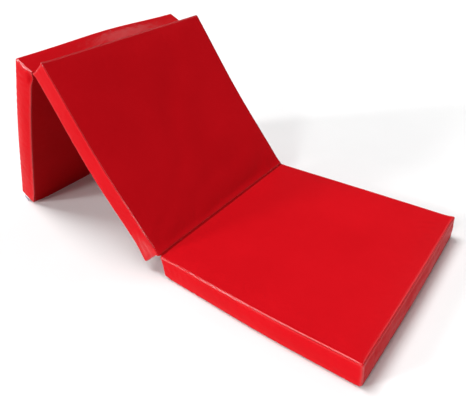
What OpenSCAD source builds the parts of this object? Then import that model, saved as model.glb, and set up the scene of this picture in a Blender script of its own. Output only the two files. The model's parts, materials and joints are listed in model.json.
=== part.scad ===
// Tri-fold gym mat: three zipped foam panels hinged by sewn webs.
// The floor panel lies flat; the middle and outer panels stand on edge as a tent.
// +Z is up, +X runs along the unfolded mat, the origin is under the floor panel's centre.

/* [Panels] */

// Length of one panel, along the unfolded mat
panel_l = 645; // [500:5:1000]

// Width of the mat, along the fold lines
panel_w = 650; // [400:5:1250]

// Thickness of one panel
panel_t = 80; // [60:1:100]

// Radius of the cover's long edges
edge_r = 6; // [3:0.5:8]

// Thickness of the coated fabric
sheet_t = 0.8; // [0.5:0.1:1]

// Clearance between the foam and its cover
foam_gap = 0.2; // [0.1:0.1:1]

/* [Folds] */

// Gap between two panels when the mat lies flat
hinge_gap = 7.5; // [7.5:0.5:16]

// Height of each fold line clear of the faces that it joins
hinge_rise = 2; // [1.5:0.1:4]

// Thickness of the hinge webs
web_t = 1.2; // [0.8:0.1:1.3]

// Angle between the middle panel and the floor
fold_ab = 56; // [25:1:60]

/* [Zips] */

// Height of the slot that shows the zip
zip_slot = 18; // [14:1:22]

// Depth of the zip tape behind the cover's face
zip_depth = 2.2; // [2:0.1:2.6]

// How much shorter the zip is than the panel's width
zip_short = 40; // [20:1:80]

// Length of the pull tab
pull_l = 24; // [16:1:30]

/* [Care label] */

// Width of the label, across the panel's thickness
label_w = 24; // [14:1:30]

// How far the label sticks out of its seam
label_out = 14; // [8:1:14]

/* [Output] */

// The piece to draw, or all of them

/* [Hidden] */

$fn = 48;
half_gap = hinge_gap / 2;
pitch = panel_l + hinge_gap;
mid_z = panel_t / 2;
eps = 0.01;

// Fold lines, as [x, z], with the mat flat
flat_ab = [-panel_l / 2 - half_gap, panel_t + hinge_rise];
flat_bc = [-panel_l / 2 - half_gap - pitch, -hinge_rise];

// A point [x, z] turned about Y, so that a positive angle lifts the -X end
function turned(p, a) = [
    p[0] * cos(a) + p[1] * sin(a),
    p[1] * cos(a) - p[0] * sin(a)
];

// The second fold line where it really is, and the tilt that puts the outer panel's foot on the floor
pivot_ab = flat_ab;
pivot_bc = pivot_ab + turned(flat_bc - flat_ab, fold_ab);
foot = [panel_l + half_gap - edge_r, hinge_rise + edge_r];
tilt_outer = asin((edge_r - pivot_bc[1]) / norm(foot)) - atan2(foot[1], foot[0]);
fold_bc = fold_ab - tilt_outer;

// Zip sizes, measured back from the cover's face
coil_t = 1.4;
coil_half = 2.5;
coil_split = 0.3;
tape_half = zip_slot / 2 + 5;
tape_inset = 1.5;
slider_l = 11;
slider_clear = 0.35;
plate_t = 0.8;
flange_t = 1;
bridge_w = 1.2;
bridge_l = 6;
bridge_t = 0.7;
bridge_hole = 2;
pull_t = 0.9;
pull_w = 6;
arm_w = 1.2;
stop_l = 3;

red = [0.80, 0.07, 0.10];
dark_red = [0.50, 0.03, 0.05];
foam_grey = [0.72, 0.72, 0.70];
zip_black = [0.08, 0.08, 0.09];
zip_metal = [0.62, 0.63, 0.65];
label_grey = [0.68, 0.68, 0.76];

PANELS = ["floor", "middle", "outer"];
PIECES = [
    "foam_core", "top_sheet", "base_sheet", "near_band", "far_band", "end_band",
    "zip_band_upper", "zip_band_lower", "zip_tape", "zip_coil", "zip_stops",
    "zip_slider", "zip_pull"
];
WEBS = [
    "top_hinge_floor_web", "top_hinge_middle_web",
    "under_hinge_middle_web", "under_hinge_outer_web"
];

// ---------- Placing ----------

// Puts what is drawn about one panel's own centre where that panel is
module place(panel) {
    if (panel == "floor")
        children();
    if (panel == "middle")
        translate([pivot_ab[0], 0, pivot_ab[1]])
            rotate([0, fold_ab, 0])
                translate([-flat_ab[0] - pitch, 0, -flat_ab[1]])
                    children();
    if (panel == "outer")
        translate([pivot_bc[0], 0, pivot_bc[1]])
            rotate([0, tilt_outer, 0])
                translate([-flat_bc[0] - 2 * pitch, 0, -flat_bc[1]])
                    children();
}

// Zips are drawn on the +X end; the floor and outer panels carry theirs at -X
module place_zip(panel) {
    place(panel)
        mirror([panel == "middle" ? 0 : 1, 0, 0])
            children();
}

// ---------- Shared shapes ----------

// A bar along Y with its four long edges rounded
module round_bar(length, width, height, r) {
    cube([length - 2 * r, width, height], center = true);
    cube([length, width, height - 2 * r], center = true);
    for (sx = [-1, 1])
        for (sz = [-1, 1])
            translate([sx * (length / 2 - r), 0, sz * (height / 2 - r)])
                rotate([90, 0, 0])
                    cylinder(h = width, r = r, center = true);
}

// A panel-shaped block, inset from the cover's outside, rounded round its top and base
module block(inset) {
    l = panel_l - 2 * inset;
    w = panel_w - 2 * inset;
    t = panel_t - 2 * inset;
    r = edge_r - inset;
    translate([0, 0, mid_z])
        intersection() {
            round_bar(l, w, t, r);
            rotate([0, 0, 90])
                round_bar(w, l, t, r);
        }
}

// The cover's rounded tray between two heights
module tray(z_low, z_high) {
    intersection() {
        difference() {
            block(0);
            block(sheet_t);
        }
        translate([-panel_l, -panel_w, z_low])
            cube([2 * panel_l, 2 * panel_w, z_high - z_low]);
    }
}

// A flat side wall of the cover, between the two trays
module side_band(side) {
    y = side < 0 ? -panel_w / 2 : panel_w / 2 - sheet_t;
    translate([-panel_l / 2, y, edge_r])
        cube([panel_l, sheet_t, panel_t - 2 * edge_r]);
}

// ---------- Panel pieces ----------

module foam_core(panel) {
    recess = zip_depth + sheet_t + foam_gap;
    color(foam_grey)
        place_zip(panel)
            difference() {
                block(sheet_t + foam_gap);
                translate([panel_l / 2 - recess, -panel_w, mid_z - tape_half - 1])
                    cube([recess + 1, 2 * panel_w, 2 * tape_half + 2]);
            }
}

module top_sheet(panel) {
    color(red)
        place(panel)
            tray(panel_t - edge_r, panel_t + 1);
}

module base_sheet(panel) {
    color(red)
        place(panel)
            tray(-1, edge_r);
}

module near_band(panel) {
    color(red)
        place(panel)
            side_band(-1);
}

module far_band(panel) {
    color(red)
        place(panel)
            side_band(1);
}

module end_band(panel) {
    color(red)
        place_zip(panel)
            translate([-panel_l / 2, -panel_w / 2 + sheet_t, edge_r])
                cube([sheet_t, panel_w - 2 * sheet_t, panel_t - 2 * edge_r]);
}

// ---------- Zip ----------

// One strip beside the zip, with its edge turned in down to the tape
module zip_strip(z_low, z_high, turn_z) {
    width = panel_w - 2 * sheet_t;
    translate([panel_l / 2 - sheet_t, -width / 2, z_low])
        cube([sheet_t, width, z_high - z_low]);
    translate([panel_l / 2 - zip_depth, -width / 2, turn_z])
        cube([zip_depth, width, sheet_t]);
}

module zip_band_upper(panel) {
    z = mid_z + zip_slot / 2;
    color(red)
        place_zip(panel)
            zip_strip(z, panel_t - edge_r, z);
}

module zip_band_lower(panel) {
    z = mid_z - zip_slot / 2;
    color(red)
        place_zip(panel)
            zip_strip(edge_r, z, z - sheet_t);
}

// The two tapes that the cover's edges are sewn to
module zip_tape(panel) {
    length = panel_w - 2 * tape_inset;
    color(dark_red)
        place_zip(panel)
            for (side = [-1, 1])
                translate([
                    panel_l / 2 - zip_depth - sheet_t,
                    -length / 2,
                    side > 0 ? mid_z + coil_split / 2 : mid_z - tape_half
                ])
                    cube([sheet_t, length, tape_half - coil_split / 2]);
}

// The two rows of coil on the tapes' edges
module zip_coil(panel) {
    length = panel_w - zip_short;
    row = coil_half - coil_split / 2;
    color(zip_black)
        place_zip(panel)
            for (side = [-1, 1])
                translate([
                    panel_l / 2 - zip_depth,
                    -length / 2,
                    side > 0 ? mid_z + coil_split / 2 : mid_z - coil_half
                ])
                    cube([coil_t, length, row]);
}

module zip_stops(panel) {
    color(zip_metal)
        place_zip(panel)
            for (side = [-1, 1])
                translate([
                    panel_l / 2 - zip_depth,
                    side * (panel_w - zip_short + stop_l) / 2 - stop_l / 2,
                    mid_z - coil_half
                ])
                    cube([coil_t, stop_l, 2 * coil_half]);
}

// Height of the slider's front plate over the cover's face, and of the pull's pivot
plate_top = -zip_depth + coil_t + slider_clear + plate_t;
pull_axis = plate_top + bridge_hole / 2;
slider_y = (panel_w - zip_short - slider_l) / 2 - slider_clear;

// The slider's saddle over the coil, with the bridge that holds the pull
module zip_slider(panel) {
    flange_z = coil_half + 0.7;
    flange_h = coil_t + plate_t;
    plate_w = 2 * (flange_z + flange_t);
    color(zip_metal)
        place_zip(panel)
            translate([panel_l / 2, slider_y, mid_z]) {
                translate([plate_top - plate_t, -slider_l / 2, -plate_w / 2])
                    cube([plate_t, slider_l, plate_w]);
                for (side = [-1, 1])
                    translate([
                        plate_top - flange_h,
                        -slider_l / 2,
                        side > 0 ? flange_z : -flange_z - flange_t
                    ])
                        cube([flange_h, slider_l, flange_t]);
                difference() {
                    translate([plate_top - eps, -bridge_l / 2, -bridge_w / 2])
                        cube([bridge_hole + bridge_t + eps, bridge_l, bridge_w]);
                    translate([plate_top, -bridge_l / 2 + bridge_t, -bridge_w])
                        cube([bridge_hole, bridge_l - 2 * bridge_t, 2 * bridge_w]);
                }
            }
}

// The pull tab, lying along the zip, with the bar that turns in the slider's bridge
module zip_pull(panel) {
    inner = bridge_w + 0.8;
    frame_l = bridge_l / 2 + 2.4;
    hole_r = 1.4;
    color(zip_metal)
        place_zip(panel)
            translate([panel_l / 2 + pull_axis, slider_y, mid_z])
                difference() {
                    union() {
                        cylinder(h = pull_w, r = pull_t / 2, center = true);
                        translate([-pull_t / 2, -pull_l + pull_w / 2, -pull_w / 2])
                            cube([pull_t, pull_l - pull_w / 2, pull_w]);
                        translate([0, -pull_l + pull_w / 2, 0])
                            rotate([0, 90, 0])
                                cylinder(h = pull_t, r = pull_w / 2, center = true);
                    }
                    translate([-pull_t, -frame_l, -inner / 2])
                        cube([2 * pull_t, frame_l - pull_t / 2, inner]);
                    translate([0, -pull_l + pull_w / 2, 0])
                        rotate([0, 90, 0])
                            cylinder(h = 2 * pull_t, r = hole_r, center = true);
                }
}

// ---------- Hinge webs ----------

// How far each half stays to its own side of the fold line, so that the halves meet face to face when folded
web_clear = 0.15;

// Half a web, drawn at a top edge at x = 0 with the panel at +X: out of the edge's seam and up to the fold line
module web_half() {
    rise = hinge_rise - web_clear;
    tip = -half_gap + 2 * web_clear;
    across = web_t / edge_r * 90 / PI;
    reach = edge_r / cos(across) + eps;
    color(dark_red)
        rotate([90, 0, 0])
            linear_extrude(height = panel_w - 2 * edge_r, center = true)
                polygon([
                    [edge_r - reach * cos(45 - across), -edge_r + reach * sin(45 - across)],
                    [edge_r - reach * cos(45 + across), -edge_r + reach * sin(45 + across)],
                    [tip, rise],
                    [tip, rise - web_t]
                ]);
}

module top_hinge_floor_web() {
    translate([-panel_l / 2, 0, panel_t])
        web_half();
}

module top_hinge_middle_web() {
    place("middle")
        translate([panel_l / 2, 0, panel_t])
            mirror([1, 0, 0])
                web_half();
}

module under_hinge_middle_web() {
    place("middle")
        translate([-panel_l / 2, 0, 0])
            mirror([0, 0, 1])
                web_half();
}

module under_hinge_outer_web() {
    place("outer")
        translate([panel_l / 2, 0, 0])
            mirror([1, 0, 0])
                mirror([0, 0, 1])
                    web_half();
}

// ---------- Care label ----------

// A blank tag caught in the corner seam at the outer panel's foot
module care_label() {
    tag_t = 0.6;
    across = panel_t * 0.58;
    color(label_grey)
        place("outer")
            translate([
                -panel_l / 2 - label_out,
                -panel_w / 2 + sheet_t,
                across - label_w / 2
            ])
                cube([label_out, tag_t, label_w]);
}

// ---------- Assembly ----------

foam_core("floor");  // floor_foam_core
top_sheet("floor");  // floor_top_sheet
base_sheet("floor");  // floor_base_sheet
near_band("floor");  // floor_near_band
far_band("floor");  // floor_far_band
end_band("floor");  // floor_end_band
zip_band_upper("floor");  // floor_zip_band_upper
zip_band_lower("floor");  // floor_zip_band_lower
zip_tape("floor");  // floor_zip_tape
zip_coil("floor");  // floor_zip_coil
zip_stops("floor");  // floor_zip_stops
zip_slider("floor");  // floor_zip_slider
zip_pull("floor");  // floor_zip_pull

foam_core("middle");  // middle_foam_core
top_sheet("middle");  // middle_top_sheet
base_sheet("middle");  // middle_base_sheet
near_band("middle");  // middle_near_band
far_band("middle");  // middle_far_band
end_band("middle");  // middle_end_band
zip_band_upper("middle");  // middle_zip_band_upper
zip_band_lower("middle");  // middle_zip_band_lower
zip_tape("middle");  // middle_zip_tape
zip_coil("middle");  // middle_zip_coil
zip_stops("middle");  // middle_zip_stops
zip_slider("middle");  // middle_zip_slider
zip_pull("middle");  // middle_zip_pull

foam_core("outer");  // outer_foam_core
top_sheet("outer");  // outer_top_sheet
base_sheet("outer");  // outer_base_sheet
near_band("outer");  // outer_near_band
far_band("outer");  // outer_far_band
end_band("outer");  // outer_end_band
zip_band_upper("outer");  // outer_zip_band_upper
zip_band_lower("outer");  // outer_zip_band_lower
zip_tape("outer");  // outer_zip_tape
zip_coil("outer");  // outer_zip_coil
zip_stops("outer");  // outer_zip_stops
zip_slider("outer");  // outer_zip_slider
zip_pull("outer");  // outer_zip_pull

top_hinge_floor_web();
top_hinge_middle_web();
under_hinge_middle_web();
under_hinge_outer_web();
care_label();
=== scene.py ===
"""A tri-fold gym mat, half folded: vinyl covers sewn over foam, with zips and hinge webs.

Each panel is worked out in its own flat coordinates, in metres: x along the mat, y along the
folds, z through the thickness from the panel's underside. PLACE then puts it where it is.
"""
import json
import math

import bmesh
import bpy
import numpy as np
from mathutils import Matrix, Vector


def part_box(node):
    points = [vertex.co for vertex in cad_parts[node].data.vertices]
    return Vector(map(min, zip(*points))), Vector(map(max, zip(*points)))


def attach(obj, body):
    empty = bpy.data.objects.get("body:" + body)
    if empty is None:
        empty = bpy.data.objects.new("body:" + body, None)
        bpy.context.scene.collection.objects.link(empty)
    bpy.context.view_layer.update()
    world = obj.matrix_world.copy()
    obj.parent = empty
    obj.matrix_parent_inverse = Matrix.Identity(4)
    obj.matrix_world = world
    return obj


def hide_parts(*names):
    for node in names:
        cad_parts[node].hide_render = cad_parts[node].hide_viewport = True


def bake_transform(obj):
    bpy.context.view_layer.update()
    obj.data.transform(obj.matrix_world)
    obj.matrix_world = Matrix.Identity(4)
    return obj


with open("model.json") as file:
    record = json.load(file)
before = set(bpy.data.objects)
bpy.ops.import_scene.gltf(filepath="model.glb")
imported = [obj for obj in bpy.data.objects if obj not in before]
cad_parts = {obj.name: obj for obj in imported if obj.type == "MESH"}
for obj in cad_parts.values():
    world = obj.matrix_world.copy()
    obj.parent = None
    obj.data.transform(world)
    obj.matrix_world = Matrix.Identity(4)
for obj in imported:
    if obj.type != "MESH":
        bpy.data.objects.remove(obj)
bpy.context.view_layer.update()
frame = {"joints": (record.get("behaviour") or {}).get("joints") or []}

MM = 0.001

# ---------- The frame's own sizes ----------

low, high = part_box("floor_top_sheet")
LENGTH, WIDTH, THICK = high.x - low.x, high.y - low.y, high.z
EDGE = high.z - low.z
HALF = np.array([LENGTH, WIDTH, THICK]) / 2
VINYL = 0.8 * MM

joints = {j["name"]: j for j in frame["joints"]}
TOP_FOLD = Vector(joints["top_fold"]["pos_m"])
UNDER_FOLD = Vector(joints["under_fold"]["pos_m"])
FOLD_AB = -math.radians(joints["top_fold"]["range_deg"][0])
FOLD_BC = -math.radians(joints["under_fold"]["range_deg"][0])
HALF_GAP = -TOP_FOLD.x - LENGTH / 2
RISE = TOP_FOLD.z - THICK
PITCH = LENGTH + 2 * HALF_GAP
FLAT_UNDER = Vector((TOP_FOLD.x - PITCH, 0, -RISE))


def turned_about(pivot, flat_pivot, angle, shift):
    """A flat panel moved along by shift, then turned so that its fold line lands on pivot."""
    turn = Matrix.Rotation(angle, 4, "Y")
    return Matrix.Translation(pivot) @ turn @ Matrix.Translation(Vector((shift, 0, 0)) - flat_pivot)


PLACE = {
    "floor": Matrix.Identity(4),
    "middle": turned_about(TOP_FOLD, TOP_FOLD, FOLD_AB, -PITCH),
    "outer": turned_about(UNDER_FOLD, FLAT_UNDER, FOLD_AB - FOLD_BC, -2 * PITCH),
}
PANELS = list(PLACE)
# The end that the zip opens: 1 is the end at high x of the flat panel, -1 the end at low x
ZIP_SIDE = {"floor": -1, "middle": 1, "outer": -1}

# ---------- Materials ----------

# Flat vinyl reflects hardly anything; rubbed places have a clear coat
FLAT_SPECULAR, COAT_ROUGHNESS = 0.015, 0.16
BASE_CLOTH_PITCH = 1.1 * MM


def material(name):
    m = bpy.data.materials.new(name)
    m.use_nodes = True
    t = m.node_tree
    return m, t, t.nodes["Principled BSDF"]


def node(tree, kind, inputs=None, **settings):
    n = tree.nodes.new(kind)
    for key, value in settings.items():
        setattr(n, key, value)
    for key, value in (inputs or {}).items():
        n.inputs[key].default_value = value
    return n


def scaled_noise(tree, scale, detail=3.0, roughness=0.5, stretch=(1, 1, 1)):
    """A noise over the object's own coordinates, so that it moves with the piece."""
    place = node(tree, "ShaderNodeTexCoord")
    mapping = node(tree, "ShaderNodeMapping", {"Scale": stretch})
    noise = node(tree, "ShaderNodeTexNoise", {"Scale": scale, "Detail": detail, "Roughness": roughness})
    tree.links.new(place.outputs["Object"], mapping.inputs["Vector"])
    tree.links.new(mapping.outputs["Vector"], noise.inputs["Vector"])
    return noise


def ramp(tree, source, low_value, high_value, low_at=0.3, high_at=0.7):
    """source's 0 to 1 turned into low_value to high_value, numbers or colours."""
    r = node(tree, "ShaderNodeValToRGB")
    for stop, at, value in zip(r.color_ramp.elements, (low_at, high_at), (low_value, high_value)):
        stop.position = at
        stop.color = (*value, 1) if isinstance(value, tuple) else (value, value, value, 1)
    tree.links.new(source, r.inputs["Fac"])
    return r.outputs["Color"]


def bumps(tree, shader, layers):
    """Chains bump nodes: layers are (height output, strength, distance in metres)."""
    last = None
    for height, strength, distance in layers:
        b = node(tree, "ShaderNodeBump", {"Strength": strength, "Distance": distance})
        tree.links.new(height, b.inputs["Height"])
        if last:
            tree.links.new(last, b.inputs["Normal"])
        last = b.outputs["Normal"]
    tree.links.new(last, shader.inputs["Normal"])


def weave_height(tree, pitch):
    """The height of a plain weave, on all three planes at once: two crossed sine bands."""
    place = node(tree, "ShaderNodeTexCoord")
    waves = []
    for direction in ("X", "Y", "Z"):
        w = node(tree, "ShaderNodeTexWave", {"Scale": 0.5 / pitch / math.pi, "Distortion": 0.0},
                 wave_type="BANDS", bands_direction=direction)
        tree.links.new(place.outputs["Object"], w.inputs["Vector"])
        waves.append(w.outputs["Fac"])
    first = node(tree, "ShaderNodeMath", operation="ADD")
    second = node(tree, "ShaderNodeMath", operation="ADD")
    tree.links.new(waves[0], first.inputs[0])
    tree.links.new(waves[1], first.inputs[1])
    tree.links.new(first.outputs[0], second.inputs[0])
    tree.links.new(waves[2], second.inputs[1])
    return second.outputs[0]


def vinyl(name, dark, light, rough_low, rough_high, gloss=0.8):
    """Coated fabric: fine leather grain over a base cloth that just shows through, soft handling marks,
    and edges rubbed smooth."""
    m, t, s = material(name)
    cloudy = scaled_noise(t, 5.0, 4.0, 0.55)
    scuffed = scaled_noise(t, 26.0, 5.0, 0.7)
    grain = scaled_noise(t, 1500.0, 2.0, 0.6)
    dents = scaled_noise(t, 60.0, 3.0, 0.5)
    t.links.new(ramp(t, cloudy.outputs["Fac"], dark, light), s.inputs["Base Color"])
    t.links.new(ramp(t, scuffed.outputs["Fac"], rough_low, rough_high), s.inputs["Roughness"])
    edges = node(t, "ShaderNodeAttribute", attribute_name="rubbed")
    shine = node(t, "ShaderNodeMath", {1: gloss}, operation="MULTIPLY")
    t.links.new(edges.outputs["Fac"], shine.inputs[0])
    t.links.new(shine.outputs[0], s.inputs["Coat Weight"])
    s.inputs["Coat Roughness"].default_value = COAT_ROUGHNESS
    s.inputs["Specular IOR Level"].default_value = FLAT_SPECULAR
    bumps(t, s, [
        (weave_height(t, BASE_CLOTH_PITCH), 0.10, 0.05 * MM),
        (dents.outputs["Fac"], 0.12, 0.6 * MM),
        (grain.outputs["Fac"], 0.22, 0.10 * MM),
    ])
    return m


def plain(name, dark, light, rough, scale, stretch=(1, 1, 1), metallic=0.0, bump=0.2, depth=0.1 * MM):
    """One noise for colour, roughness and bump: thread, foam, nylon or metal."""
    m, t, s = material(name)
    n = scaled_noise(t, scale, 4.0, 0.6, stretch)
    t.links.new(ramp(t, n.outputs["Fac"], dark, light), s.inputs["Base Color"])
    t.links.new(ramp(t, n.outputs["Fac"], rough * 0.8, min(1.0, rough * 1.2)), s.inputs["Roughness"])
    s.inputs["Metallic"].default_value = metallic
    bumps(t, s, [(n.outputs["Fac"], bump, depth)])
    return m


def woven(name, dark, light, pitch, rough, strength):
    """Narrow woven goods, such as zip tape and labels."""
    m, t, s = material(name)
    n = scaled_noise(t, 400.0, 3.0, 0.6)
    weave = weave_height(t, pitch)
    t.links.new(ramp(t, n.outputs["Fac"], dark, light), s.inputs["Base Color"])
    s.inputs["Roughness"].default_value = rough
    s.inputs["Sheen Weight"].default_value = 0.25
    s.inputs["Sheen Roughness"].default_value = 0.5
    bumps(t, s, [(weave, strength, 0.2 * MM)])
    return m


RED = vinyl("red_vinyl", (0.49, 0.0036, 0.0075), (0.53, 0.0043, 0.0088), 0.28, 0.38)
# The underside is the same red vinyl, painted darker: painted shade for the undersides, which face into the
# fold
SHADED_UNDER_RED = vinyl("underside_vinyl_painted_shade", (0.27, 0.0018, 0.0032), (0.31, 0.0022, 0.0041), 0.42, 0.52, 0.3)
# The hinge web is the same red vinyl, painted darker: painted shade in the gap between the folded panels
WEB_RED_PAINTED_SHADE = vinyl("web_vinyl_painted_shade", (0.28, 0.0020, 0.0036), (0.33, 0.0026, 0.0044), 0.42, 0.52, 0.3)
THREAD = plain("red_thread", (0.50, 0.010, 0.014), (0.60, 0.018, 0.024), 0.45, 900, bump=0.5)
FOAM = plain("grey_foam", (0.42, 0.42, 0.41), (0.62, 0.62, 0.60), 0.9, 300, bump=0.8, depth=1.0 * MM)
TAPE = woven("zip_tape_weave", (0.20, 0.004, 0.007), (0.30, 0.006, 0.01), 0.9 * MM, 0.8, 0.6)
COIL = plain("zip_coil_nylon", (0.018, 0.017, 0.018), (0.035, 0.033, 0.034), 0.35, 700)
METAL = plain("zip_nickel", (0.52, 0.52, 0.53), (0.66, 0.66, 0.67), 0.24, 350, (1, 6, 1), 1.0, 0.08)
LABEL = woven("label_satin", (0.15, 0.15, 0.23), (0.21, 0.21, 0.30), 0.5 * MM, 0.45, 0.35)

# ---------- The rounded panel and its skin ----------

# Each face: the axis out of it, its sign, and the two axes across it, so that u x v points out
FACES = {
    "top": (2, 1, 0, 1),
    "base": (2, -1, 1, 0),
    "near": (1, -1, 0, 2),
    "far": (1, 1, 2, 0),
    "right": (0, 1, 1, 2),
    "left": (0, -1, 2, 1),
}
SEAM_STEPS = np.array([0, 0.4, 0.8, 1.3, 2.0, 2.8, 3.8, 4.9, 6.0, 8.0, 11.0, 15.0]) * MM
CELL = 6.5 * MM


def seam_lines(half, cell=CELL):
    """Grid lines from -half to half, close together at both ends, where the seams are."""
    inner = half - SEAM_STEPS[-1]
    count = max(2, round(2 * inner / cell))
    middle = np.linspace(-inner, inner, count + 1)[1:-1]
    return np.concatenate([-half + SEAM_STEPS, middle, half - SEAM_STEPS[::-1]])


def rounded(face, u, v, radius=EDGE, half=HALF):
    """Places and outward directions on the rounded panel. A face ends at the middle of its rounded edge."""
    n_axis, sign, u_axis, v_axis = FACES[face]
    core, out = np.zeros((len(u), 3)), np.zeros((len(u), 3))
    core[:, n_axis], out[:, n_axis] = sign * (half[n_axis] - radius), sign
    for axis, value in ((u_axis, u), (v_axis, v)):
        inner = half[axis] - radius
        into = np.clip((np.abs(value) - inner) / radius, 0, 1)
        out[:, axis] = np.sign(value) * np.tan(into * math.pi / 4)
        core[:, axis] = np.clip(value, -inner, inner)
    out /= np.linalg.norm(out, axis=1)[:, None]
    return core + out * radius, out


WAVES_PEAK = 1.6


def waves(points, seed, longest, shortest, count=14, stretch=(1, 1, 1)):
    """A smooth random field over points, about -1 to 1: plane waves between two wavelengths."""
    rng = np.random.default_rng(seed)
    total = np.zeros(len(points))
    for _ in range(count):
        way = rng.normal(size=3) * np.array(stretch)
        way /= np.linalg.norm(way)
        length = math.exp(rng.uniform(math.log(shortest), math.log(longest)))
        total += np.sin(2 * math.pi * (points @ way) / length + rng.uniform(0, 2 * math.pi))
    return total / math.sqrt(count / 2) / WAVES_PEAK


def near_to(points, centre, size):
    """1 at centre, falling off as a Gaussian of that size along each axis."""
    return np.exp(-(((points - np.array(centre)) / np.array(size)) ** 2).sum(1))


# ---------- Cloth simulation of each cover ----------

CELLS = (80, 80, 10)
CLOTH_FRAMES = 20
SHAKE = 0.4 * MM  # gets the cloth off its flat faces
EXTRA_CLOTH = 0.010  # how much larger than the foam the cover is cut
PRESSURE, TENSION, SHEAR, BENDING = 3.0, 40, 20, 2.0
# The share of the extra cloth in the middle of a face, and how far from the seams the rest of it gathers
LOOSE_MIDDLE, LOOSE_REACH = 0.2, 50 * MM


def lattice_mesh(name, seed):
    """A closed box of cells. Returns its object, and each point's cell numbers, place and if on a seam."""
    number, places, quads = {}, [], []

    def corner(face, a, b):
        n_axis, sign, u_axis, v_axis = FACES[face]
        key = [0, 0, 0]
        key[n_axis] = CELLS[n_axis] if sign > 0 else 0
        key[u_axis], key[v_axis] = a, b
        key = tuple(key)
        if key not in number:
            number[key] = len(places)
            places.append([(2 * k / c - 1) * h for k, c, h in zip(key, CELLS, HALF)])
        return number[key]

    for face, (_, _, u_axis, v_axis) in FACES.items():
        for a in range(CELLS[u_axis]):
            for b in range(CELLS[v_axis]):
                quads.append([corner(face, a, b), corner(face, a + 1, b),
                              corner(face, a + 1, b + 1), corner(face, a, b + 1)])
    keys, places = np.array(list(number)), np.array(places)
    on_seam = ((keys % np.array(CELLS)) == 0).sum(1) > 1
    shaken = places + np.random.default_rng(seed).normal(0, SHAKE, places.shape) * ~on_seam[:, None]
    mesh = bpy.data.meshes.new(name)
    mesh.from_pydata(shaken.tolist(), [], quads)
    cover = bpy.data.objects.new(name, mesh)
    bpy.context.scene.collection.objects.link(cover)
    return cover, keys, places, on_seam


def simulate(panel, seed):
    """How far the cover moves off the foam when it is cut slightly large and held along its seams.
    Returns one array for each face: the outward movement at each cell corner."""
    cover, keys, places, on_seam = lattice_mesh(f"{panel}_cloth", seed)
    from_seam = np.sort(HALF - np.abs(places), axis=1)[:, 1]
    beside = np.exp(-((from_seam / LOOSE_REACH) ** 2))
    loose = np.where(on_seam, 0.0, LOOSE_MIDDLE + (1 - LOOSE_MIDDLE) * beside)
    held = cover.vertex_groups.new(name="held")
    held.add([int(i) for i in np.flatnonzero(on_seam)], 1.0, "REPLACE")
    slack = cover.vertex_groups.new(name="slack")
    for i, weight in enumerate(loose):
        slack.add([i], float(weight), "REPLACE")
    cloth = cover.modifiers.new("Cloth", "CLOTH").settings
    cloth.quality, cloth.mass = 5, 0.4
    cloth.tension_stiffness = cloth.compression_stiffness = TENSION
    cloth.shear_stiffness, cloth.bending_stiffness = SHEAR, BENDING
    cloth.use_pressure, cloth.uniform_pressure_force = True, PRESSURE
    cloth.vertex_group_mass, cloth.pin_stiffness = "held", 1.0
    cloth.vertex_group_shrink, cloth.shrink_min, cloth.shrink_max = "slack", 0.0, -EXTRA_CLOTH
    cloth.effector_weights.gravity = 0
    for number in range(1, CLOTH_FRAMES + 1):
        bpy.context.scene.frame_set(number)
    cooked = cover.evaluated_get(bpy.context.evaluated_depsgraph_get())
    moved = np.array([v.co for v in cooked.data.vertices]) - places
    bpy.data.objects.remove(cover)
    bpy.context.scene.frame_set(1)
    result = {}
    for face, (n_axis, sign, u_axis, v_axis) in FACES.items():
        grid = np.zeros((CELLS[u_axis] + 1, CELLS[v_axis] + 1))
        on_face = keys[:, n_axis] == (CELLS[n_axis] if sign > 0 else 0)
        grid[keys[on_face, u_axis], keys[on_face, v_axis]] = sign * moved[on_face, n_axis]
        result[face] = grid
    return result


def blurred(grid, cells):
    """grid smoothed by a Gaussian of that many cells."""
    reach = int(3 * cells)
    kernel = np.exp(-((np.arange(-reach, reach + 1) / cells) ** 2) / 2)
    kernel /= kernel.sum()
    for axis in (0, 1):
        pad = [(0, 0), (0, 0)]
        pad[axis] = (reach, reach)
        padded = np.pad(grid, pad, mode="reflect" if grid.shape[axis] > reach else "edge")
        grid = np.apply_along_axis(lambda row: np.convolve(row, kernel, "valid"), axis, padded)
    return grid


def cubic(grid, a, b):
    """grid read at fractional cells a, b by Catmull-Rom splines."""

    def weights(f):
        return np.stack([-f + 2 * f**2 - f**3, 2 - 5 * f**2 + 3 * f**3,
                         f + 4 * f**2 - 3 * f**3, -(f**2) + f**3]) / 2

    ia = np.clip(np.floor(a).astype(int), 0, grid.shape[0] - 2)
    ib = np.clip(np.floor(b).astype(int), 0, grid.shape[1] - 2)
    wa, wb = weights(a - ia), weights(b - ib)
    padded = np.pad(grid, 1, mode="edge")
    return sum(wa[i] * wb[j] * padded[ia + i, ib + j] for i in range(4) for j in range(4))


# ---------- What each panel's cover does beyond the simulation ----------

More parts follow.
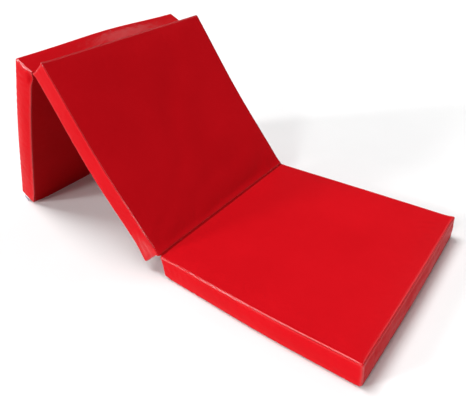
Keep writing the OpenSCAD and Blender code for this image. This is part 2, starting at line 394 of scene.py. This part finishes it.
# Soft pushes of the whole skin, as (centre, size, movement) in millimetres from the panel's middle
HX, HY, HZ = HALF / MM
FOLD_SIZE = (10, 5000, 6.5)
PUSHES = {
    "floor": [
        ((HX, 0, 0), (14, 300, 40), (9.0, 0, 0)),                  # the end bulges
        ((HX, -HY, -HZ), (14, 14, 14), (-1.0, 1.0, 0.5)),          # worn round lower corner
        ((60, -HY, 0), (250, 22, 70), (0, -10.0, 0)),              # the near side bows out
        ((HX, -HY, HZ), (10, 10, 8), (1.5, -1.5, 2.2)),            # corner ear
        ((HX, HY, HZ), (16, 16, 12), (2.0, 2.0, 2.4)),             # and the ear at the far corner
        ((60, HY, 0), (250, 14, 50), (0, 3.5, 0)),                 # the far side bows out
        ((-HX, 0, HZ), FOLD_SIZE, (-5.0, 0, 1.6)),                 # drawn up to the fold line
        ((-HX, -HY, HZ), (30, 45, 26), (0, -2.0, -1.0)),           # squeezed round at the fold
        ((-HX, -HY, -HZ), (30, 40, 26), (1.0, 0, 5.5)),            # lifted off the floor under it
    ],
    "middle": [
        ((HX, -HY, -HZ), (40, 40, 38), (9.0, -4.5, -6.5)),         # the lower corner sags off the foam
        ((HX, 0, HZ), FOLD_SIZE, (5.0, 0, 3.0)),                   # drawn down to the fold line
        ((HX, 0, HZ), (17, 5000, 10), (0, 0, 1.4)),                # and pressed up a little beside it
        ((HX, -HY, HZ), (20, 30, 13), (1.0, -2.5, -1.2)),          # the fold's near end stands out
        ((HX - 30, -HY, HZ), (16, 14, 12), (0, 3.0, -1.6)),        # dimple above the fold's end
        ((HX - 70, -HY, 10), (40, 12, 30), (0, -2.6, 0)),          # swelling beside the dimple
        ((-HX, -HY, HZ), (10, 10, 9), (-3.0, -2.5, 3.0)),          # upper corner ear
        ((-20, 0, HZ), (260, 600, 55), (0, 0, -8.0)),              # sags between the folds
        ((0, -HY, 0), (250, 22, 70), (0, -8.0, 0)),                # the near side bows out
        ((40, -HY, -HZ), (230, 30, 26), (0, -5.0, -2.4)),          # most along its lower seam
        ((0, HY, 0), (250, 24, 60), (0, -9.0, 0)),                 # the far side is drawn in
        ((-HX, 0, -HZ), FOLD_SIZE, (-5.0, 0, -2.9)),               # drawn to the under fold's line
        ((-HX, -HY, -HZ), (12, 12, 12), (0, -1.2, 0)),             # upper corner on the fold's side
    ],
    "outer": [
        ((HX - 130, -HY, 0), (190, 420, 90), (0, 0, 4.6)),         # the panel swells near the fold
        ((HX - 27, -HY, -HZ + 10), (14, 14, 6.5), (0, 9.0, 0)),    # hollow below the fold
        ((HX - 8, -HY, -HZ), (9, 10, 8), (0, 3.0, 3.0)),           # and the corner above it
        ((-HX, -HY, -HZ), (36, 42, 26), (0, 0, 5.0)),              # the foot's inner corner is worn back
        ((10, -HY, 0), (250, 18, 50), (0, -11.0, 0)),              # the near side bellies out
        ((0, HY, 0), (250, 14, 30), (0, 1.8, 0)),                  # the far side too, a little
        ((HX, 20, HZ), (40, 200, 40), (6.0, 0, 6.0)),              # the upper end crowns up
        ((-HX, 0, 0), (12, 300, 30), (-2.0, 0, 0)),                # the foot presses on the floor
        ((HX, 0, -HZ), FOLD_SIZE, (5.0, 0, -2.9)),                 # drawn to the fold's line
    ],
}
# Groups of folds: (face, centre, size, the fold lines' normal, wavelength, height), in millimetres
TRAINS = {
    "floor": [
        ("right", (HX, 0, 0), (20, 420, 40), (0, 1.0, 0.5), 105, 1.8),
        ("right", (HX, 0, 4), (20, 420, 30), (0, 0.10, 1.0), 34, 0.7),
        ("top", (HX - 42, HY - 95, HZ), (50, 60, 20), (-0.63, 0.77, 0), 21, 0.9),
        ("top", (-HX, -120, HZ), (80, 200, 20), (0.15, 1.0, 0), 38, 0.5),
        ("near", (-HX + 40, -HY, 0), (60, 20, 40), (1.0, 0, 0.5), 26, 0.6),
    ],
    "middle": [
        ("near", (HX - 52, -HY, 4), (56, 20, 34), (1.0, 0, -0.35), 34, 2.8),
        ("near", (HX - 34, -HY, -12), (40, 20, 26), (0.5, 0, 1.0), 27, 2.2),
        ("near", (HX - 16, -HY, 14), (24, 20, 24), (0.9, 0, 0.6), 18, 1.6),
        ("top", (HX, -HY + 60, HZ), (80, 90, 20), (0.8, 0.7, 0), 54, 1.0),
        ("top", (HX - 60, 60, HZ), (180, 260, 20), (0.85, 0.5, 0), 105, 1.4),
        ("top", (-60, -60, HZ), (300, 300, 20), (0.6, 0.8, 0), 160, 1.2),
    ],
    "outer": [
        ("near", (HX - 40, -HY, -10), (60, 20, 30), (1.0, 0, 0.7), 24, 1.3),
        ("base", (HX, -HY + 50, -HZ), (90, 80, 20), (0.4, 1.0, 0), 36, 1.0),
        ("top", (0, 0, HZ), (260, 260, 20), (0.5, 0.9, 0), 150, 0.7),
    ],
}
# Places rubbed shiny: (face, centre, size, how shiny)
SHINY = {
    "floor": [("right", (HX, y, z), (20, 46, 15), 0.28)
              for y, z in ((-275, -6), (-150, 9), (-10, -4), (120, 8), (235, -2))],
    "middle": [("near", (HX - 30, -HY, 5), (34, 20, 34), 0.8)],
    "outer": [("right", (HX, 60, 0), (20, 190, 60), 0.45)],
}
SEEDS = {"floor": 11, "middle": 23, "outer": 37}
# The share of the simulated crown that each face keeps, and of its ripples, in the middle and at the seams
CROWN = {"top": 0.14, "base": 0.14, "near": 0.9, "far": 0.9, "left": 0.6, "right": 0.6}
CROWN_BLUR = 5
RIPPLES_MIDDLE, RIPPLES_EDGE, RIPPLES_REACH = 0.12, 0.9, 75 * MM
# The foam is uneven by this much, in waves of this longest and shortest length
UNEVEN, UNEVEN_WAVES = 0.35 * MM, (0.5, 0.14)
# Within this reach the seams hold the vinyl down
SEAM_HOLD = 9 * MM
# Puckers: height, wavelengths, how long their patches are, and how they rise and die away from the seam
PUCKER, PUCKER_WAVES, PUCKER_PATCHES = 0.55 * MM, (0.036, 0.020), (0.4, 0.1)
PUCKER_RISE, PUCKER_REACH = 3 * MM, 13 * MM
# A turned seam: height, place and width of the roll beside it, and depth and width of the stitched groove
ROLL, ROLL_AT, ROLL_WIDE = 0.14 * MM, 1.6 * MM, 1.2 * MM
GROOVE, GROOVE_WIDE = 0.12 * MM, 0.45 * MM
# The most that a face may move in and out, which keeps folded panels apart
LEAST = -1.2 * MM
MOST = {"top": 1.5 * MM, "base": 1.5 * MM, "near": 5 * MM, "far": 5 * MM, "left": 3.2 * MM, "right": 3.2 * MM}


def pushed(panel, place):
    """Points, measured from the panel's middle, after its soft pushes. The cover rests on the floor."""
    for centre, size, movement in PUSHES[panel]:
        place = place + near_to(place / MM, centre, size)[:, None] * np.array(movement) * MM
    place = place + np.array([0, 0, HALF[2]])
    turn = np.array(PLACE[panel])
    depth = np.minimum(place @ turn[2, :3] + turn[2, 3], 0)
    return place - depth[:, None] * turn[2, :3]


def soft_limit(value, least, most):
    """value kept within its limits, easing off as it comes near them."""
    return np.where(value > 0, most * np.tanh(value / most), least * np.tanh(value / least))


class Skin:
    """One panel's cover: gives the place and outward direction of any point on it."""

    def __init__(self, panel):
        self.panel, self.seed = panel, SEEDS[panel]
        self.moves = {}
        self.take_cloth(simulate(panel, self.seed))

    def take_cloth(self, sheets):
        """Keeps a share of each face's simulated crown, and its ripples, mostly near the seams."""
        for face, (_, _, u_axis, v_axis) in FACES.items():
            crown = blurred(sheets[face], CROWN_BLUR)
            to_seam = [HALF[a] - np.abs(np.linspace(-1, 1, CELLS[a] + 1)) * HALF[a] for a in (u_axis, v_axis)]
            near_seam = np.minimum(*np.meshgrid(*to_seam, indexing="ij"))
            ripples = RIPPLES_MIDDLE + RIPPLES_EDGE * np.exp(-((near_seam / RIPPLES_REACH) ** 2))
            self.moves[face] = crown * CROWN[face] + (sheets[face] - crown) * ripples

    def at(self, face, u, v):
        """Places and outward directions of the points u, v of a face."""
        _, _, u_axis, v_axis = FACES[face]
        place, out = rounded(face, u, v)
        to_seam = np.stack([HALF[u_axis] - np.abs(u), HALF[v_axis] - np.abs(v)])
        near_seam = to_seam.min(0)
        free = 1 - np.exp(-((near_seam / SEAM_HOLD) ** 2))
        lift = UNEVEN * waves(place, self.seed + 1, *UNEVEN_WAVES) * free
        if face in self.moves:
            a = (u / HALF[u_axis] + 1) / 2 * CELLS[u_axis]
            b = (v / HALF[v_axis] + 1) / 2 * CELLS[v_axis]
            lift += cubic(self.moves[face], a, b)
        for on_face, centre, size, normal, wavelength, height in TRAINS[self.panel]:
            if face == on_face:
                folds = height * MM * self.folds(place, normal, wavelength)
                lift += folds * near_to(place / MM, centre, size) * free
        lift = soft_limit(lift, LEAST, MOST[face])
        lift += self.puckers(face, u, v, to_seam)
        lift += self.seam(near_seam)
        place = place + out * lift[:, None]
        return pushed(self.panel, place), out

    def folds(self, place, normal, wavelength):
        """A train of folds across normal, which wander and are of uneven height."""
        way = np.array(normal) / np.linalg.norm(normal)
        longest = 7 * wavelength * MM
        wander = waves(place, self.seed + wavelength, longest, longest / 3) * 2.4
        uneven = 0.65 + 0.55 * waves(place, self.seed + wavelength + 1, longest, longest / 4)
        return uneven * np.sin(2 * math.pi * (place @ way) / (wavelength * MM) + wander)

    def puckers(self, face, u, v, to_seam):
        """Small gathers beside each seam, where the thread draws the vinyl up."""
        total = np.zeros(len(u))
        for k, (along, away) in enumerate(((u, to_seam[1]), (v, to_seam[0]))):
            seed = self.seed * 7 + k + 3 * list(FACES).index(face)
            line = np.stack([along, 0 * along, 0 * along], 1)
            strength = np.clip(0.35 + 0.8 * waves(line, seed, *PUCKER_PATCHES, stretch=(1, 0, 0)), 0, 1.4)
            ripple = waves(line, seed + 50, *PUCKER_WAVES, stretch=(1, 0, 0))
            fade = away / (PUCKER_RISE + away) * np.exp(-away / PUCKER_REACH)
            total += PUCKER * strength * ripple * fade
        return total

    def seam(self, away):
        """A turned seam: the vinyl rolls up beside it and dips into the stitched groove."""
        roll = ROLL * np.exp(-(((away - ROLL_AT) / ROLL_WIDE) ** 2))
        groove = GROOVE * np.exp(-((away / GROOVE_WIDE) ** 2))
        return roll - groove


# ---------- Making pieces ----------

RUBBED_REACH = 5 * MM


def add_piece(name, mesh, finish, replaces=()):
    piece = bpy.data.objects.new(name, mesh)
    bpy.context.scene.collection.objects.link(piece)
    mesh.materials.append(finish)
    mesh.polygons.foreach_set("use_smooth", [True] * len(mesh.polygons))
    if replaces:
        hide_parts(*replaces)
    return piece


def mesh_from(name, points, quads):
    mesh = bpy.data.meshes.new(name)
    mesh.from_pydata(np.asarray(points).tolist(), [], quads)
    mesh.update()
    return mesh


def grid_quads(rows, columns, first=0):
    """Quads over rows x columns points listed row by row."""
    return [
        (first + r * columns + c, first + (r + 1) * columns + c,
         first + (r + 1) * columns + c + 1, first + r * columns + c + 1)
        for r in range(rows - 1) for c in range(columns - 1)
    ]


def polish(mesh, from_seam, shiny=0.0):
    """Marks how rubbed each point is: fully at a seam, and elsewhere by its share of shiny."""
    near = np.maximum(np.exp(-((from_seam / RUBBED_REACH) ** 2)), shiny)
    mesh.attributes.new("rubbed", "FLOAT", "POINT").data.foreach_set("value", near.astype(np.float32))


def sheet_mesh(skin, face, us, vs, name):
    """The skin of one face over the grid lines us, vs."""
    uu, vv = np.meshgrid(us, vs, indexing="ij")
    points, _ = skin.at(face, uu.ravel(), vv.ravel())
    mesh = mesh_from(name, points, grid_quads(len(us), len(vs)))
    _, _, u_axis, v_axis = FACES[face]
    place, _ = rounded(face, uu.ravel(), vv.ravel())
    shiny = sum(strength * near_to(place / MM, centre, size) * (face == on_face)
                for on_face, centre, size, strength in SHINY[skin.panel])
    polish(mesh, np.minimum(HALF[u_axis] - np.abs(uu), HALF[v_axis] - np.abs(vv)).ravel(), shiny)
    return mesh


def thicken(piece, thickness=VINYL, offset=-1.0):
    m = piece.modifiers.new("Thickness", "SOLIDIFY")
    m.thickness, m.offset, m.use_even_offset = thickness, offset, False


def face_lines(face):
    _, _, u_axis, v_axis = FACES[face]
    return seam_lines(HALF[u_axis]), seam_lines(HALF[v_axis])


def cover_sheet(skin, face, part):
    """One sheet or band of the cover, cut to the face and held stretched by its seams."""
    name = f"{skin.panel}_{part}_vinyl"
    us, vs = face_lines(face)
    # base faces take the darker vinyl, which is painted shade
    finish = SHADED_UNDER_RED if face == "base" else RED
    piece = add_piece(name, sheet_mesh(skin, face, us, vs, name), finish, [f"{skin.panel}_{part}"])
    piece.matrix_world = PLACE[skin.panel]
    thicken(piece)
    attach(piece, f"{skin.panel}_panel")


# The slot that shows the zip: half its height, how deep its tape lies, where it ends, and its turned edges
SLOT_HALF, ZIP_DEPTH, SLOT_END, TURN = 9 * MM, 2.2 * MM, 315 * MM, 1.2 * MM
FOAM_INSET, FOAM_RADIUS, FOAM_CELL = 3.2 * MM, 12 * MM, 5 * MM
CHANNEL_DEPTH, CHANNEL_HALF = 6 * MM, SLOT_HALF + 7 * MM


def foam_slab(panel):
    """The foam inside: a slab with soft corners, a little smaller than its cover."""
    half = HALF - FOAM_INSET
    points, quads = [], []
    for face, (_, _, u_axis, v_axis) in FACES.items():
        us, vs = (np.linspace(-half[a], half[a], max(12, int(half[a] / FOAM_CELL)) + 1)
                  for a in (u_axis, v_axis))
        uu, vv = np.meshgrid(us, vs, indexing="ij")
        place, _ = rounded(face, uu.ravel(), vv.ravel(), FOAM_RADIUS, half)
        first = len(points)
        points.extend(pushed(panel, place))
        quads.extend(grid_quads(len(us), len(vs), first))
    mesh = mesh_from(f"{panel}_foam_slab", points, quads)
    work = bmesh.new()
    work.from_mesh(mesh)
    bmesh.ops.remove_doubles(work, verts=work.verts, dist=0.05 * MM)
    side = ZIP_SIDE[panel]
    for vertex in work.verts:  # the channel that the zip lies in
        x, _, z = vertex.co
        if side * x > HALF[0] - CHANNEL_DEPTH and abs(z - HALF[2]) < CHANNEL_HALF:
            vertex.co.x = side * (HALF[0] - CHANNEL_DEPTH)
    work.to_mesh(mesh)
    work.free()
    piece = add_piece(f"{panel}_foam_slab", mesh, FOAM, [f"{panel}_foam_core"])
    piece.matrix_world = PLACE[panel]
    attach(piece, f"{panel}_panel")


# ---------- Zips ----------

TUCK_DEPTH = 2.15 * MM
FIRST_STEP, CLEAR_STEP = 0.9 * MM, 1.5 * MM
COIL_PITCH, COIL_WIRE = 1.7 * MM, 0.27 * MM
COIL_WIDE, COIL_DEEP, COIL_MIDDLE = 1.18 * MM, 0.68 * MM, 1.33 * MM
TAPE_TO_COIL = 0.7 * MM
STOP_SIZE = Vector((1.4, 2.8, 5.0)) * MM


def zip_side(panel):
    return "right" if ZIP_SIDE[panel] > 0 else "left"


def slot_half(y):
    """Half the slot's height along the zip: straight, with round ends."""
    past = np.clip((np.abs(y) - (SLOT_END - SLOT_HALF)) / SLOT_HALF, 0, 1)
    return np.maximum(SLOT_HALF * np.sqrt(1 - past**2), 0.05 * MM)


def zip_strip(skin, part, up):
    """One strip beside the zip, with its edge turned in to the tape. up is 1 above the zip and -1 below."""
    side, face = ZIP_SIDE[skin.panel], zip_side(skin.panel)
    turns = np.linspace(0, math.pi / 2, 6)
    path = [(0.0, TUCK_DEPTH), *((TURN * (1 - math.sin(a)), TURN * (1 - math.cos(a))) for a in turns[::-1])]
    flats = seam_lines(HALF[2])
    start = SLOT_HALF + TURN
    reach = [h - SLOT_HALF for h in flats[flats > start + CLEAR_STEP]]
    steps = [start - SLOT_HALF + FIRST_STEP, *reach]
    heights = np.array([p[0] for p in path] + steps)
    depths = np.array([p[1] for p in path] + [0.0] * len(steps))
    round_end = np.arange(300, 317) * MM
    ys = np.unique(np.round(np.concatenate([seam_lines(HALF[1]), -round_end, round_end]), 5))
    yy, hh = np.meshgrid(ys, heights, indexing="ij")
    yy, hh = yy.ravel(), hh.ravel()
    dd = np.tile(depths, len(ys))
    slot = slot_half(yy)
    z = up * (slot + hh * (HALF[2] - slot) / (HALF[2] - SLOT_HALF))
    points, _ = skin.at(face, *((yy, z) if face == "right" else (z, yy)))
    points[:, 0] -= side * dd
    name = f"{skin.panel}_{part}_vinyl"
    quads = grid_quads(len(ys), len(heights))
    if side * up < 0:
        quads = [q[::-1] for q in quads]
    mesh = mesh_from(name, points, quads)
    polish(mesh, np.minimum(HALF[1] - np.abs(yy), HALF[2] - np.abs(z)))
    piece = add_piece(name, mesh, RED, [f"{skin.panel}_{part}"])
    piece.matrix_world = PLACE[skin.panel]
    thicken(piece)
    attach(piece, f"{skin.panel}_panel")


def tube(points, radius, sides=5):
    """Points and faces of a thin round tube along points, with closed ends."""
    points = np.asarray(points)
    along = np.gradient(points, axis=0)
    along /= np.linalg.norm(along, axis=1)[:, None]
    across = np.cross(along, [0.0, 1.0, 0.17])
    across /= np.linalg.norm(across, axis=1)[:, None]
    third = np.cross(along, across)
    angles = np.linspace(0, 2 * math.pi, sides, endpoint=False)
    ring = np.cos(angles)[None, :, None] * across[:, None] + np.sin(angles)[None, :, None] * third[:, None]
    shell = (points[:, None] + radius * ring).reshape(-1, 3)
    return shell, tube_faces(len(points), sides)


def tube_faces(rings, sides):
    """Faces over rings of points, each of that many sides, and the two ends."""
    faces = [(first + s, first + (s + 1) % sides, first + sides + (s + 1) % sides, first + sides + s)
             for first in range(0, (rings - 1) * sides, sides) for s in range(sides)]
    return faces + [tuple(range(sides))[::-1], tuple(range((rings - 1) * sides, rings * sides))]


def coil_length(panel):
    box_low, box_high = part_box(f"{panel}_zip_coil")
    return box_high.y - box_low.y


def zip_coil(panel):
    """The two rows of nylon coil, half a turn apart."""
    side, length = ZIP_SIDE[panel], coil_length(panel)
    turns = round(length / COIL_PITCH)
    angle = np.linspace(0, 2 * math.pi * turns, turns * 10 + 1)
    y = np.linspace(-length / 2 + COIL_WIRE, length / 2 - COIL_WIRE, len(angle))
    points, quads = [], []
    for row in (-1, 1):
        x = HALF[0] - ZIP_DEPTH + TAPE_TO_COIL + (COIL_DEEP - COIL_WIRE) * np.cos(angle)
        z = row * (COIL_MIDDLE + (COIL_WIDE - COIL_WIRE) * np.sin(angle)) + HALF[2]
        half_turn = (row > 0) * COIL_PITCH / 2 * 0.99
        shell, faces = tube(np.stack([side * x, y + half_turn, z], 1), COIL_WIRE)
        quads += [tuple(i + len(points) for i in f) for f in faces]
        points.extend(shell)
    name = f"{panel}_zip_coil_rows"
    coil = add_piece(name, mesh_from(name, points, quads), COIL, [f"{panel}_zip_coil"])
    coil.matrix_world = PLACE[panel]
    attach(coil, f"{panel}_panel")


def zip_crimps(panel):
    """The crimped metal stops past both ends of the coil."""
    side, length = ZIP_SIDE[panel], coil_length(panel)
    work = bmesh.new()
    for end in (-1, 1):
        middle = Vector((side * (HALF[0] - ZIP_DEPTH + TAPE_TO_COIL), end * (length / 2 + 1.5 * MM), HALF[2]))
        for v in bmesh.ops.create_cube(work, size=1)["verts"]:
            v.co = middle + v.co * STOP_SIZE
    bmesh.ops.bevel(work, geom=work.edges[:], offset=0.35 * MM, segments=3, affect="EDGES", profile=0.6)
    bmesh.ops.subdivide_edges(work, edges=work.edges[:], cuts=1, use_grid_fill=True)
    for v in work.verts:  # pinched across the middle
        v.co.x -= side * 0.35 * MM * math.exp(-(((v.co.z - HALF[2]) / (0.8 * MM)) ** 2))
    mesh = bpy.data.meshes.new(f"{panel}_zip_crimps")
    work.to_mesh(mesh)
    work.free()
    stops = add_piece(f"{panel}_zip_crimps", mesh, METAL, [f"{panel}_zip_stops"])
    stops.matrix_world = PLACE[panel]
    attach(stops, f"{panel}_panel")


def frame_zip_parts(panel):
    """The slider, pull and tape are the frame's own, with their finish and softened edges."""
    for part, finish, soft in (("zip_slider", METAL, 0.18), ("zip_pull", METAL, 0.16),
                               ("zip_tape", TAPE, 0.15)):
        carried = bpy.data.objects[f"{panel}_{part}"]
        carried.data.materials.clear()
        carried.data.materials.append(finish)
        bevel = carried.modifiers.new("Soft edges", "BEVEL")
        bevel.width, bevel.segments, bevel.limit_method = soft * MM, 2, "ANGLE"


# ---------- Seam stitching ----------

STITCH_PITCH, STITCH_LONG, STITCH_RADIUS, STITCH_PROUD, STITCH_DIP = (
    4.2 * MM, 2.6 * MM, 0.18 * MM, 0.05 * MM, 0.12 * MM)
SEAM_TO_STITCH, ZIP_TO_STITCH, CORNER_TO_STITCH = 1.0 * MM, 4.0 * MM, 8 * MM


def one_stitch(sides=6):
    """Points and faces of a short thread along its first axis, with its ends thin and pulled down."""
    fat = (0.35, 0.85, 1.0, 0.85, 0.35)
    stations = np.linspace(-1, 1, len(fat))
    angles = np.linspace(0, 2 * math.pi, sides, endpoint=False)
    points = [(s * STITCH_LONG / 2, STITCH_RADIUS * f * math.cos(a),
               STITCH_RADIUS * f * math.sin(a) - STITCH_DIP * s * s)
              for s, f in zip(stations, fat) for a in angles]
    return np.array(points), tube_faces(len(fat), sides)


def stitches(skin):
    """Lines of thread: along every seam, just on the big faces' side, and beside the zip."""
    rows = []
    for face in ("top", "base"):
        _, _, u_axis, v_axis = FACES[face]
        for fixed_axis, run_axis in ((u_axis, v_axis), (v_axis, u_axis)):
            reach = HALF[run_axis] - CORNER_TO_STITCH
            run = np.arange(-reach, reach, STITCH_PITCH)
            along_v = fixed_axis == u_axis
            for edge in (-1, 1):
                still = np.full(len(run), edge * (HALF[fixed_axis] - SEAM_TO_STITCH))
                rows.append((face, *((still, run) if along_v else (run, still)), along_v))
    face = zip_side(skin.panel)
    run = np.arange(-SLOT_END, SLOT_END, STITCH_PITCH)
    for edge in (-1, 1):
        still = np.full(len(run), edge * (SLOT_HALF + ZIP_TO_STITCH))
        rows.append((face, *((run, still) if face == "right" else (still, run)), face != "right"))
    shape, shape_quads = one_stitch()
    points, quads = [], []
    step = 0.6 * MM
    for face, u, v, along_v in rows:
        here, out = skin.at(face, u, v)
        ahead, _ = skin.at(face, u + (0 if along_v else step), v + (step if along_v else 0))
        along = ahead - here
        along /= np.linalg.norm(along, axis=1)[:, None]
        across = np.cross(out, along)
        across /= np.linalg.norm(across, axis=1)[:, None]
        up = np.cross(along, across)
        placed = (here[:, None] + shape[None, :, 0, None] * along[:, None]
                  + shape[None, :, 1, None] * across[:, None]
                  + (shape[None, :, 2, None] + STITCH_PROUD) * up[:, None])
        for one in placed:
            quads += [tuple(i + len(points) for i in q) for q in shape_quads]
            points.extend(one)
    name = f"{skin.panel}_stitching"
    piece = add_piece(name, mesh_from(name, points, quads), THREAD)
    piece.matrix_world = PLACE[skin.panel]
    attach(piece, f"{skin.panel}_panel")


# ---------- Hinge webs ----------

WEB_FLAT, WEB_THICK = 15 * MM, 0.7 * MM
WEB_STOPS_SHORT = 3.5 * MM  # of the panels' corners, at each end
WEB_SAG, WEB_WAVE = 0.4 * MM, 0.1 * MM


def web(name, fold, first, second, corner_first, corner_second, nodes):
    """A strip of doubled vinyl sewn into the two covers' edge seams, which reach almost to the fold line."""
    ways, tips = [], []
    for panel, (side, top) in ((first, corner_first), (second, corner_second)):
        turn = PLACE[panel].to_3x3()
        into = (turn @ Vector((-side, 0, -0.62 * top))).normalized()
        ways.append(into)
        tips.append(fold + turn @ Vector((-side * 0.5 * MM, 0, -top * 1.1 * MM)))
    width = WIDTH - 2 * WEB_STOPS_SHORT
    sag = (ways[0] + ways[1]).normalized() * WEB_SAG
    line = [tips[0] + ways[0] * d * MM for d in (6.5, 4.0, 2.0, 0.8)]
    line += [tips[0].lerp(tips[1], t) + sag * math.sin(math.pi * t) for t in (0.0, 0.25, 0.5, 0.75, 1.0)]
    line += [tips[1] + ways[1] * d * MM for d in (0.8, 2.0, 4.0, 6.5)]
    ys = np.linspace(-width / 2, width / 2, 131)
    points = [(p.x, y, p.z + WEB_WAVE * math.sin(y * 140)) for p in line for y in ys]
    # the web takes the darker vinyl, which is painted shade for the fold gap
    piece = add_piece(name, mesh_from(name, points, grid_quads(len(line), len(ys))), WEB_RED_PAINTED_SHADE, nodes)
    thicken(piece, WEB_THICK, 0.0)
    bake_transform(piece)


# ---------- Care label ----------


TAG_LOW, TAG_HIGH, TAG_TALL, TAG_THICK = -14 * MM, 1.2 * MM, 24 * MM, 0.35 * MM
TAG_MIDDLE = HALF[2] + 6.4 * MM
TAG_ROOT = -HALF[:2] - np.array([0.3, 3.0]) * MM
TAG_CURL, TAG_WAVE, TAG_DROOP = 2.6 * MM, 0.4 * MM, 1.2 * MM


def care_label():
    """A blank woven tag, sewn into the seam at the outer panel's foot."""
    across = np.linspace(TAG_HIGH, TAG_LOW, 15)
    ups = np.linspace(-TAG_TALL / 2, TAG_TALL / 2, 13)
    points = []
    for x in across:
        for z in ups:
            out = (TAG_HIGH - x) / (TAG_HIGH - TAG_LOW)
            curl = TAG_CURL * out**2 * (0.7 + 0.3 * math.sin(z * 90))
            points.append((TAG_ROOT[0] + x + TAG_WAVE * out * math.sin(z * 200), TAG_ROOT[1] + curl * 0.35,
                           TAG_MIDDLE + z * (1 - 0.04 * out) - TAG_DROOP * out))
    mesh = mesh_from("blank_care_tag", points, grid_quads(len(across), len(ups)))
    piece = add_piece("blank_care_tag", mesh, LABEL, ["care_label"])
    piece.matrix_world = PLACE["outer"]
    thicken(piece, TAG_THICK, 0.0)
    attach(piece, "outer_panel")


# ---------- Build ----------

for panel in PANELS:
    skin = Skin(panel)
    plain_end = "left" if ZIP_SIDE[panel] > 0 else "right"
    foam_slab(panel)
    for face, part in (("top", "top_sheet"), ("base", "base_sheet"), ("near", "near_band"),
                       ("far", "far_band"), (plain_end, "end_band")):
        cover_sheet(skin, face, part)
    zip_strip(skin, "zip_band_upper", 1)
    zip_strip(skin, "zip_band_lower", -1)
    zip_coil(panel)
    zip_crimps(panel)
    frame_zip_parts(panel)
    stitches(skin)

web("top_hinge_strip", TOP_FOLD, "floor", "middle", (-1, 1), (1, 1),
    ["top_hinge_floor_web", "top_hinge_middle_web"])
web("under_hinge_strip", UNDER_FOLD, "middle", "outer", (-1, -1), (1, -1),
    ["under_hinge_middle_web", "under_hinge_outer_web"])
care_label()

# ---------- Floor, light and camera ----------

FLOOR_SIZE, FLOOR_DROP = 60, 0.8 * MM

STAGE, stage_tree, stage_shader = material("studio_floor")
stage_noise = scaled_noise(stage_tree, 3.0)
stage_tree.links.new(ramp(stage_tree, stage_noise.outputs["Fac"], (0.84, 0.84, 0.84), (0.86, 0.86, 0.86)),
                     stage_shader.inputs["Base Color"])
stage_shader.inputs["Roughness"].default_value = 0.9
stage_shader.inputs["Specular IOR Level"].default_value = 0.1
bpy.ops.mesh.primitive_plane_add(size=FLOOR_SIZE, location=(0, 0, -FLOOR_DROP))
floor = bpy.context.object
floor.name = "studio_floor_plane"
floor.data.materials.append(STAGE)

world = bpy.data.worlds.new("studio")
world.use_nodes = True
sky = world.node_tree
height = node(sky, "ShaderNodeSeparateXYZ")
sky.links.new(node(sky, "ShaderNodeTexCoord").outputs["Generated"], height.inputs[0])
sky.links.new(ramp(sky, height.outputs["Z"], (0.85, 0.85, 0.85), (0.12, 0.12, 0.12), 0.08, 0.34),
              sky.nodes["Background"].inputs["Color"])
bpy.context.scene.world = world


def point_to(thing, direction):
    thing.rotation_mode = "QUATERNION"
    thing.rotation_quaternion = Vector(direction).to_track_quat("Z", "Y")


# Suns: name, the way to the sun, strength, and its width in degrees
for name, direction, energy, width in (
    ("key", (-0.55, -0.76, 0.35), 1.7, 11),
    ("front_left", (0.0, -0.81, 0.59), 0.6, 10),
    ("front_right", (0.30, -0.95, 0.08), 0.9, 6),
    ("overhead", (-0.35, -0.05, 0.94), 2.45, 26),
    ("back", (0.07, 0.67, 0.74), 0.5, 32),
):
    sun = bpy.data.objects.new(name, bpy.data.lights.new(name, "SUN"))
    sun.data.energy, sun.data.angle = energy, math.radians(width)
    point_to(sun, direction)
    bpy.context.scene.collection.objects.link(sun)

AZIMUTH, ELEVATION, ROLL = (math.radians(degrees) for degrees in (39.35, 29.87, -3.95))
DISTANCE = 1.6565
target = Vector((-0.3425, 0.1325, 0.160))
level = math.cos(ELEVATION)
back = Vector((math.sin(AZIMUTH) * level, -math.cos(AZIMUTH) * level, math.sin(ELEVATION)))
right = Vector((math.cos(AZIMUTH), math.sin(AZIMUTH), 0))
up = back.cross(right)
right, up = (right * math.cos(ROLL) + up * math.sin(ROLL), up * math.cos(ROLL) - right * math.sin(ROLL))
camera = bpy.data.objects.new("camera", bpy.data.cameras.new("camera"))
camera.data.lens, camera.data.sensor_width = 35.96, 36
camera.data.shift_x, camera.data.shift_y = -0.031, -0.0757
facing = Matrix((right, up, back)).transposed().to_4x4()
camera.matrix_world = Matrix.Translation(target + back * DISTANCE) @ facing
bpy.context.scene.collection.objects.link(camera)
bpy.context.scene.camera = camera
bpy.context.scene.view_settings.view_transform = "Standard"
